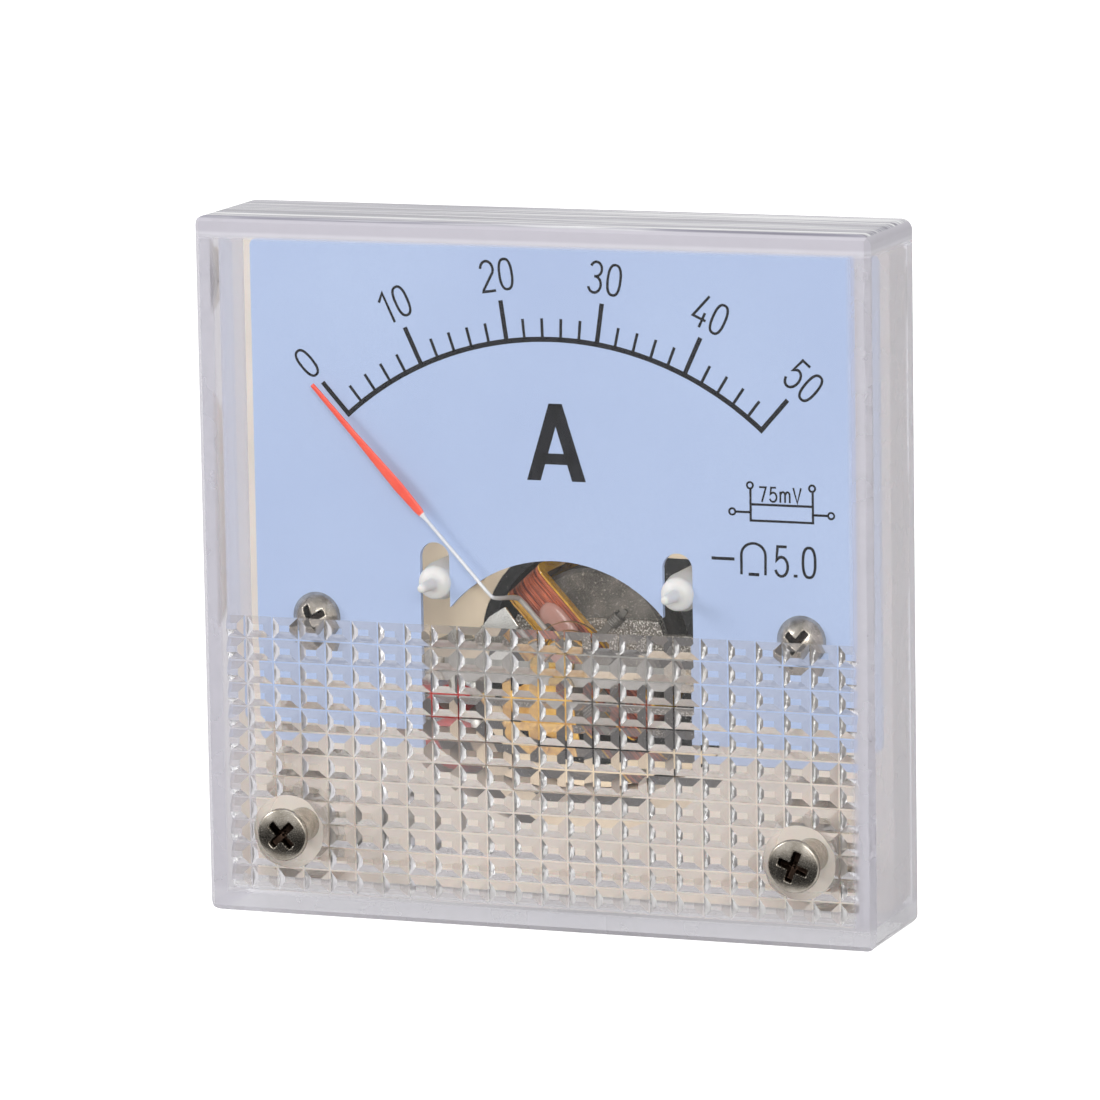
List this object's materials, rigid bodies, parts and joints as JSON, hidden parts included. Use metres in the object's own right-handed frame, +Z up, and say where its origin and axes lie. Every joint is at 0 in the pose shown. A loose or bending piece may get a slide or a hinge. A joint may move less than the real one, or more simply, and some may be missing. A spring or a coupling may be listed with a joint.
{
  "type": "analog panel meter",
  "caption": "Small square moving-coil panel meter with a clear front cover, a blue dial, a pointer on a sprung coil and a round barrel with studs behind.",
  "frame": {"origin": "centre of the face that seats on the panel, behind the front cover", "axes": "+Y into the panel, +Z up, +X to the right as seen from the front"},
  "size_m": [0.045, 0.0346, 0.045],
  "materials": {
    "clear_cover": "clear polished",
    "nickel_screw": "nickel plated",
    "dial_blue": "satin print",
    "cream_plastic": "moulded satin",
    "black_steel": "black",
    "sintered_magnet": "sintered grain",
    "steel_sheet": "stamped",
    "bridge_alloy": "satin",
    "brass": "turned",
    "nylon_white": "translucent",
    "tinned": "tinned",
    "amber_former": "varnished",
    "copper_winding": "enamelled copper wire",
    "bronze_spring": "rolled strip",
    "pointer_white": "painted tube, red end",
    "wire_red": "insulation",
    "wire_black": "insulation"
  },
  "bodies": {
    "case": {"front_cover": "clear_cover", "cover_screws": "nickel_screw", "dial_plate": "dial_blue", "dial_screws": "nickel_screw", "base_housing": "cream_plastic", "movement_frame": "cream_plastic", "frame_screws": "nickel_screw", "yoke": "black_steel", "core_magnet": "sintered_magnet", "front_strap": "steel_sheet", "rear_strap": "steel_sheet", "front_bridge": "bridge_alloy", "rear_bridge": "bridge_alloy", "bridge_screws": "brass", "front_jewel_screw": "brass", "rear_jewel_screw": "brass", "zero_arm": "steel_sheet", "rear_spring_arm": "steel_sheet", "stop_post_left": "nylon_white", "stop_post_right": "nylon_white", "solder_tab": "tinned", "mounting_studs": "brass", "mounting_washers": "steel_sheet", "mounting_nuts": "brass", "terminal_studs": "brass", "terminal_washers": "steel_sheet", "terminal_nuts": "brass", "terminal_lugs": "tinned", "lead_wire_red": "wire_red", "lead_wire_black": "wire_black"},
    "moving_coil": {"coil_former": "amber_former", "coil_winding": "copper_winding", "front_staff": "steel_sheet", "rear_staff": "steel_sheet", "front_spring": "bronze_spring", "rear_spring": "bronze_spring", "balance_cross": "bridge_alloy", "balance_weights": "steel_sheet", "pointer": "pointer_white"}
  },
  "joints": [
    {"name": "pointer_swing", "type": "hinge", "parent": "case", "child": "moving_coil", "pos_m": [0, 0, -0.0063], "axis": [0, 1, 0], "range_deg": [-12.5, 97.2], "stiffness_Nm_per_rad": 0.00002, "deforming": ["front_spring", "rear_spring"]}
  ]
}
